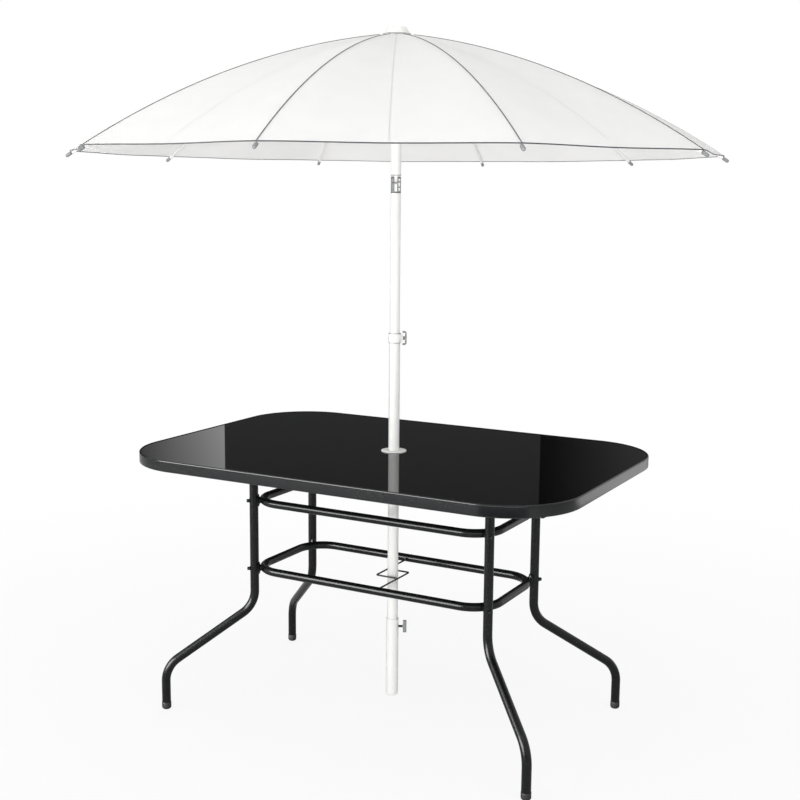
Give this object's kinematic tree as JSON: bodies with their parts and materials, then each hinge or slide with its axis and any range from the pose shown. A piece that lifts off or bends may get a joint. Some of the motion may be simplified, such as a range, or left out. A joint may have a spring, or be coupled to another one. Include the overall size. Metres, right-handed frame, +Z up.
{
  "type": "umbrella table",
  "caption": "Outdoor dining table with a tinted glass top, bent tube legs and a folding, tilting umbrella through its centre.",
  "frame": {"origin": "on the floor, straight under the centre of the umbrella hole", "axes": "+X along the table's length, +Y to its back, +Z up"},
  "size_m": [1.6882, 1.679, 1.8163],
  "materials": {
    "black_steel": "satin black powder coat",
    "black_plastic": "fine-grained black moulded plastic",
    "dark_fastener": "black-finished steel fasteners",
    "tinted_glass": "dark tinted glass, polished",
    "white_plastic": "smooth white moulded plastic",
    "white_steel": "white powder coat",
    "bright_steel": "plain steel",
    "canopy_cloth": "woven white cloth with thin grey piping"
  },
  "bodies": {
    "table": {"glass_top": "tinted_glass", "rim_frame": "black_steel", "umbrella_hole_ring": "white_plastic", "upper_tube_ring": "black_steel", "lower_tube_ring": "black_steel", "upper_ring_joint": "dark_fastener", "lower_ring_joint": "dark_fastener", "umbrella_holder": "black_steel", "leg_front_left": "black_steel", "foot_cap_front_left": "black_plastic", "lower_bolt_front_left": "dark_fastener", "upper_bolt_front_left": "dark_fastener", "leg_front_right": "black_steel", "foot_cap_front_right": "black_plastic", "lower_bolt_front_right": "dark_fastener", "upper_bolt_front_right": "dark_fastener", "leg_back_right": "black_steel", "foot_cap_back_right": "black_plastic", "lower_bolt_back_right": "dark_fastener", "upper_bolt_back_right": "dark_fastener", "leg_back_left": "black_steel", "foot_cap_back_left": "black_plastic", "lower_bolt_back_left": "dark_fastener", "upper_bolt_back_left": "dark_fastener"},
    "pole": {"base_sleeve": "white_steel", "lower_pole": "white_steel", "clamp_collar": "white_plastic"},
    "base_screw": {"base_thumb_screw": "white_plastic"},
    "collar_screw": {"collar_knob": "white_plastic"},
    "mast": {"upper_pole": "white_steel", "tilt_socket": "white_plastic", "tilt_pin": "bright_steel"},
    "button": {"tilt_button": "bright_steel"},
    "head": {"tilt_tongue": "white_plastic", "crown_pole": "white_steel", "crown_hub": "white_plastic", "finial": "white_plastic", "canopy": "canopy_cloth"},
    "rib_01": {"rib_01": "white_steel"},
    "stretcher_01": {"stretcher_01": "white_steel"},
    "rib_02": {"rib_02": "white_steel"},
    "stretcher_02": {"stretcher_02": "white_steel"},
    "rib_03": {"rib_03": "white_steel"},
    "stretcher_03": {"stretcher_03": "white_steel"},
    "rib_04": {"rib_04": "white_steel"},
    "stretcher_04": {"stretcher_04": "white_steel"},
    "rib_05": {"rib_05": "white_steel"},
    "stretcher_05": {"stretcher_05": "white_steel"},
    "rib_06": {"rib_06": "white_steel"},
    "stretcher_06": {"stretcher_06": "white_steel"},
    "rib_07": {"rib_07": "white_steel"},
    "stretcher_07": {"stretcher_07": "white_steel"},
    "rib_08": {"rib_08": "white_steel"},
    "stretcher_08": {"stretcher_08": "white_steel"},
    "rib_09": {"rib_09": "white_steel"},
    "stretcher_09": {"stretcher_09": "white_steel"},
    "rib_10": {"rib_10": "white_steel"},
    "stretcher_10": {"stretcher_10": "white_steel"},
    "runner": {"runner": "white_plastic"}
  },
  "joints": [
    {"name": "umbrella_spin", "type": "hinge", "parent": "table", "child": "pole", "pos_m": [0, 0, 0.72], "axis": [0, 0, 1], "continuous": true},
    {"name": "base_screw_turn", "type": "hinge", "parent": "pole", "child": "base_screw", "pos_m": [0.02649, 0.01408, 0.236], "axis": [0.8829, 0.4695, 0], "range_deg": [0, 180]},
    {"name": "collar_screw_turn", "type": "hinge", "parent": "pole", "child": "collar_screw", "pos_m": [0.02207, 0.01174, 1.0258], "axis": [0.8829, 0.4695, 0], "range_deg": [0, 180]},
    {"name": "pole_height", "type": "slide", "parent": "pole", "child": "mast", "axis": [0, 0, 1], "range_m": [0, 0.3]},
    {"name": "tilt_button_press", "type": "slide", "parent": "mast", "child": "button", "axis": [-0.4695, 0.8829, 0], "range_m": [0, 0.0012], "stiffness_N_per_m": 400, "springref_m": -0.002},
    {"name": "canopy_tilt", "type": "hinge", "parent": "mast", "child": "head", "pos_m": [0, 0, 1.435], "axis": [0.8829, 0.4695, 0], "range_deg": [0, 30]},
    {"name": "canopy_fold", "type": "hinge", "parent": "head", "child": "rib_01", "pos_m": [0.01678, 0.00892, 1.783], "axis": [0.4695, -0.8829, 0], "range_deg": [-66, 0], "deforming": ["canopy"]},
    {"name": "rib_02_fold", "type": "hinge", "parent": "head", "child": "rib_02", "pos_m": [0.00833, 0.01708, 1.783], "axis": [0.8988, -0.4384, 0], "range_deg": [-66, 0]},
    {"name": "rib_03_fold", "type": "hinge", "parent": "head", "child": "rib_03", "pos_m": [-0.0033, 0.01871, 1.783], "axis": [0.9848, 0.1736, 0], "range_deg": [-66, 0]},
    {"name": "rib_04_fold", "type": "hinge", "parent": "head", "child": "rib_04", "pos_m": [-0.01367, 0.0132, 1.783], "axis": [0.6947, 0.7193, 0], "range_deg": [-66, 0]},
    {"name": "rib_05_fold", "type": "hinge", "parent": "head", "child": "rib_05", "pos_m": [-0.01881, 0.00264, 1.783], "axis": [0.1392, 0.9903, 0], "range_deg": [-66, 0]},
    {"name": "rib_06_fold", "type": "hinge", "parent": "head", "child": "rib_06", "pos_m": [-0.01678, -0.00892, 1.783], "axis": [-0.4695, 0.8829, 0], "range_deg": [-66, 0]},
    {"name": "rib_07_fold", "type": "hinge", "parent": "head", "child": "rib_07", "pos_m": [-0.00833, -0.01708, 1.783], "axis": [-0.8988, 0.4384, 0], "range_deg": [-66, 0]},
    {"name": "rib_08_fold", "type": "hinge", "parent": "head", "child": "rib_08", "pos_m": [0.0033, -0.01871, 1.783], "axis": [-0.9848, -0.1736, 0], "range_deg": [-66, 0]},
    {"name": "rib_09_fold", "type": "hinge", "parent": "head", "child": "rib_09", "pos_m": [0.01367, -0.0132, 1.783], "axis": [-0.6947, -0.7193, 0], "range_deg": [-66, 0]},
    {"name": "rib_10_fold", "type": "hinge", "parent": "head", "child": "rib_10", "pos_m": [0.01881, -0.00264, 1.783], "axis": [-0.1392, -0.9903, 0], "range_deg": [-66, 0]},
    {"name": "stretcher_01_fold", "type": "hinge", "parent": "rib_01", "child": "stretcher_01", "pos_m": [0.30322, 0.16123, 1.72112], "axis": [0.4695, -0.8829, 0], "range_deg": [0, 132]},
    {"name": "stretcher_02_fold", "type": "hinge", "parent": "rib_02", "child": "stretcher_02", "pos_m": [0.15054, 0.30866, 1.72112], "axis": [0.8988, -0.4384, 0], "range_deg": [0, 132]},
    {"name": "stretcher_03_fold", "type": "hinge", "parent": "rib_03", "child": "stretcher_03", "pos_m": [-0.05963, 0.3382, 1.72112], "axis": [0.9848, 0.1736, 0], "range_deg": [0, 132]},
    {"name": "stretcher_04_fold", "type": "hinge", "parent": "rib_04", "child": "stretcher_04", "pos_m": [-0.24703, 0.23856, 1.72112], "axis": [0.6947, 0.7193, 0], "range_deg": [0, 132]},
    {"name": "stretcher_05_fold", "type": "hinge", "parent": "rib_05", "child": "stretcher_05", "pos_m": [-0.34008, 0.04779, 1.72112], "axis": [0.1392, 0.9903, 0], "range_deg": [0, 132]},
    {"name": "stretcher_06_fold", "type": "hinge", "parent": "rib_06", "child": "stretcher_06", "pos_m": [-0.30322, -0.16123, 1.72112], "axis": [-0.4695, 0.8829, 0], "range_deg": [0, 132]},
    {"name": "stretcher_07_fold", "type": "hinge", "parent": "rib_07", "child": "stretcher_07", "pos_m": [-0.15054, -0.30866, 1.72112], "axis": [-0.8988, 0.4384, 0], "range_deg": [0, 132]},
    {"name": "stretcher_08_fold", "type": "hinge", "parent": "rib_08", "child": "stretcher_08", "pos_m": [0.05963, -0.3382, 1.72112], "axis": [-0.9848, -0.1736, 0], "range_deg": [0, 132]},
    {"name": "stretcher_09_fold", "type": "hinge", "parent": "rib_09", "child": "stretcher_09", "pos_m": [0.24703, -0.23856, 1.72112], "axis": [-0.6947, -0.7193, 0], "range_deg": [0, 132]},
    {"name": "stretcher_10_fold", "type": "hinge", "parent": "rib_10", "child": "stretcher_10", "pos_m": [0.34008, -0.04779, 1.72112], "axis": [-0.1392, -0.9903, 0], "range_deg": [0, 132]},
    {"name": "runner_level", "type": "hinge", "parent": "stretcher_01", "child": "runner", "pos_m": [0.01678, 0.00892, 1.65924], "axis": [0.4695, -0.8829, 0], "range_deg": [-66, 0]}
  ],
  "couplings": [
    {"joint": "rib_02_fold", "follows": "canopy_fold", "ratio": 1},
    {"joint": "rib_03_fold", "follows": "canopy_fold", "ratio": 1},
    {"joint": "rib_04_fold", "follows": "canopy_fold", "ratio": 1},
    {"joint": "rib_05_fold", "follows": "canopy_fold", "ratio": 1},
    {"joint": "rib_06_fold", "follows": "canopy_fold", "ratio": 1},
    {"joint": "rib_07_fold", "follows": "canopy_fold", "ratio": 1},
    {"joint": "rib_08_fold", "follows": "canopy_fold", "ratio": 1},
    {"joint": "rib_09_fold", "follows": "canopy_fold", "ratio": 1},
    {"joint": "rib_10_fold", "follows": "canopy_fold", "ratio": 1},
    {"joint": "stretcher_01_fold", "follows": "canopy_fold", "ratio": -2},
    {"joint": "stretcher_02_fold", "follows": "canopy_fold", "ratio": -2},
    {"joint": "stretcher_03_fold", "follows": "canopy_fold", "ratio": -2},
    {"joint": "stretcher_04_fold", "follows": "canopy_fold", "ratio": -2},
    {"joint": "stretcher_05_fold", "follows": "canopy_fold", "ratio": -2},
    {"joint": "stretcher_06_fold", "follows": "canopy_fold", "ratio": -2},
    {"joint": "stretcher_07_fold", "follows": "canopy_fold", "ratio": -2},
    {"joint": "stretcher_08_fold", "follows": "canopy_fold", "ratio": -2},
    {"joint": "stretcher_09_fold", "follows": "canopy_fold", "ratio": -2},
    {"joint": "stretcher_10_fold", "follows": "canopy_fold", "ratio": -2},
    {"joint": "runner_level", "follows": "canopy_fold", "ratio": 1}
  ]
}
